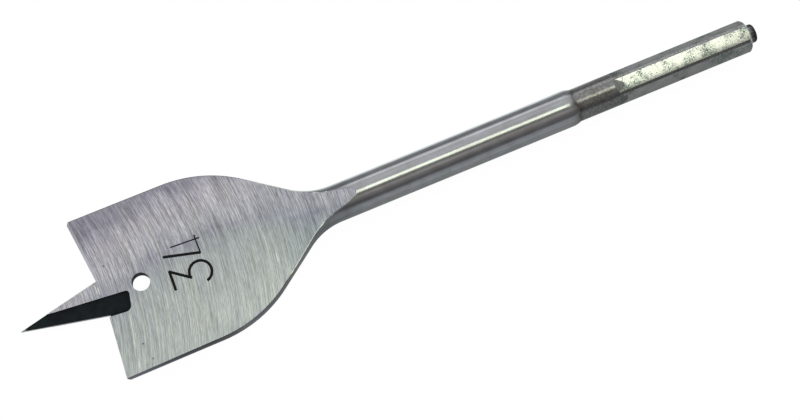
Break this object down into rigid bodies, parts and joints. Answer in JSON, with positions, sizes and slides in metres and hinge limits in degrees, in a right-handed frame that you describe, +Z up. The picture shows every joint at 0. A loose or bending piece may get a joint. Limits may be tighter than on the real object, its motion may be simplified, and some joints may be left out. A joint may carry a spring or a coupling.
{
  "type": "spade drill bit",
  "caption": "Flat spade drill bit: long grooved centre point, winged cutting edges, a pull hole in the fan-shaped blade, round shaft and hex shank for boring wide holes in wood.",
  "frame": {"origin": "centre of the bit's outline, on the surface that its shaft lies on", "axes": "+X along the bit towards the shank, so the point faces -X; +Y across the blade; +Z up, square to the blade"},
  "size_m": [0.16, 0.034, 0.0076],
  "materials": {
    "steel": "ground blade, polished shaft, duller shank"
  },
  "bodies": {
    "root": {"spade_bit": "steel"}
  },
  "joints": []
}
